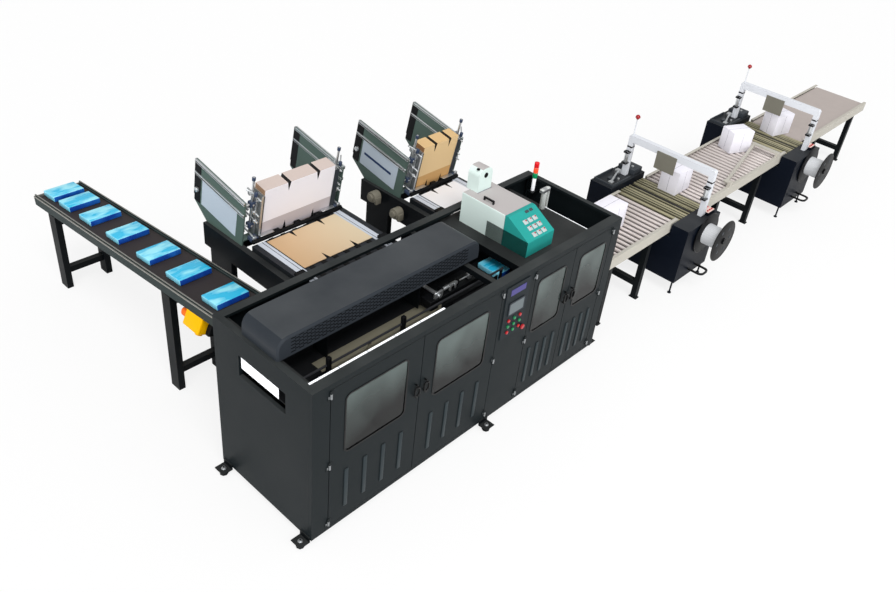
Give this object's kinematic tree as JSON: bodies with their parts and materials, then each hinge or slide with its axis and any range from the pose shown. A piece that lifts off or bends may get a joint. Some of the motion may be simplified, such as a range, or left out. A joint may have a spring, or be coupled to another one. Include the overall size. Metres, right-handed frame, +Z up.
{
  "type": "ream case packer",
  "caption": "Ream case packer line: belt infeed, glazed cabinet with glue unit, two tilted blank feeders, roller outfeed and strapping machines with arches.",
  "frame": {"origin": "underside centre of the levelling foot at the cabinet's front left corner, on the floor", "axes": "+X along the line in the way the cases travel, +Y to the rear, towards the infeed's loading end, +Z up"},
  "size_m": [10.3323, 4.57, 1.9472],
  "materials": {
    "cabinet_paint": "satin, dark grey",
    "hood_paint": "satin, dark grey",
    "frame_steel": "satin, black green",
    "tinted_window": "smoked, smooth",
    "white_plastic": "matt",
    "bright_steel": "brushed",
    "glue_white": "satin",
    "glue_teal": "satin",
    "panel_grey": "matt",
    "conveyor_green": "satin, dark green",
    "belt_rubber": "matt",
    "drive_yellow": "satin",
    "ream_wrap": "smooth wrapping",
    "feeder_dark": "satin, near black",
    "magazine_grey": "satin, grey green",
    "board_white": "matt",
    "board_brown": "matt",
    "conveyor_cream": "satin, cream",
    "roller_zinc": "zinc plated",
    "exit_belt_beige": "matt",
    "strapper_blue": "satin, blue black",
    "table_olive": "satin, olive",
    "arch_white": "satin, pale grey",
    "reel_mixed": "strap coil between black flanges",
    "black_steel": "satin, black",
    "lamp_colours": "gloss, coloured lenses",
    "handle_black": "satin, black",
    "case_board": "matt, white"
  },
  "bodies": {
    "line": {"base_frame": "frame_steel", "left_end_panel": "cabinet_paint", "right_end_panel": "cabinet_paint", "rear_panel": "cabinet_paint", "front_frame": "cabinet_paint", "levelling_feet": "frame_steel", "control_panel": "panel_grey", "machine_bed": "bright_steel", "pusher_drive": "frame_steel", "hood_cover": "hood_paint", "lamp_strip": "white_plastic", "upper_deck": "frame_steel", "glue_tank": "glue_white", "glue_control_head": "glue_teal", "glue_pump_housing": "glue_white", "signal_tower": "lamp_colours", "air_regulator": "bright_steel", "infeed_side_frames": "conveyor_green", "infeed_belt": "belt_rubber", "infeed_legs": "frame_steel", "infeed_drive_motor": "drive_yellow", "ream_packs": "ream_wrap", "feeder_1_frame": "feeder_dark", "feeder_1_magazine_sides": "magazine_grey", "feeder_1_adjusters": "bright_steel", "feeder_1_table": "feeder_dark", "feeder_1_blanks": "board_white", "feeder_2_frame": "feeder_dark", "feeder_2_magazine_sides": "magazine_grey", "feeder_2_adjusters": "bright_steel", "feeder_2_table": "feeder_dark", "feeder_2_blanks": "board_brown", "outfeed_side_rails": "conveyor_cream", "outfeed_rollers": "roller_zinc", "outfeed_legs": "frame_steel", "diverter_guide": "conveyor_cream", "exit_belt": "exit_belt_beige", "packed_cases": "case_board", "strapper_1_base": "strapper_blue", "strapper_1_table": "table_olive", "strapper_1_arch": "arch_white", "strapper_1_reel_stand": "black_steel", "strapper_2_base": "strapper_blue", "strapper_2_table": "table_olive", "strapper_2_arch": "arch_white", "strapper_2_reel_stand": "black_steel"},
    "door_1": {"door_1": "cabinet_paint", "door_1_window": "tinted_window", "door_1_handle": "handle_black"},
    "door_2": {"door_2": "cabinet_paint", "door_2_window": "tinted_window", "door_2_handle": "handle_black"},
    "door_3": {"door_3": "cabinet_paint", "door_3_window": "tinted_window", "door_3_handle": "handle_black"},
    "door_4": {"door_4": "cabinet_paint", "door_4_window": "tinted_window", "door_4_handle": "handle_black"},
    "reel_1": {"strapper_1_reel": "reel_mixed"},
    "reel_2": {"strapper_2_reel": "reel_mixed"}
  },
  "joints": [
    {"name": "door_1_hinge", "type": "hinge", "parent": "line", "child": "door_1", "pos_m": [0.197, -0.075, 0.775], "axis": [0, 0, -1], "range_deg": [0, 100]},
    {"name": "door_2_hinge", "type": "hinge", "parent": "line", "child": "door_2", "pos_m": [1.922, -0.075, 0.775], "axis": [0, 0, 1], "range_deg": [0, 100]},
    {"name": "door_3_hinge", "type": "hinge", "parent": "line", "child": "door_3", "pos_m": [2.327, -0.075, 0.775], "axis": [0, 0, -1], "range_deg": [0, 100]},
    {"name": "door_4_hinge", "type": "hinge", "parent": "line", "child": "door_4", "pos_m": [3.412, -0.075, 0.775], "axis": [0, 0, 1], "range_deg": [0, 100]},
    {"name": "reel_1_spin", "type": "hinge", "parent": "line", "child": "reel_1", "pos_m": [5.392, -0.2125, 0.634], "axis": [0, 1, 0], "continuous": true},
    {"name": "reel_2_spin", "type": "hinge", "parent": "line", "child": "reel_2", "pos_m": [7.972, -0.2125, 0.634], "axis": [0, 1, 0], "continuous": true}
  ]
}
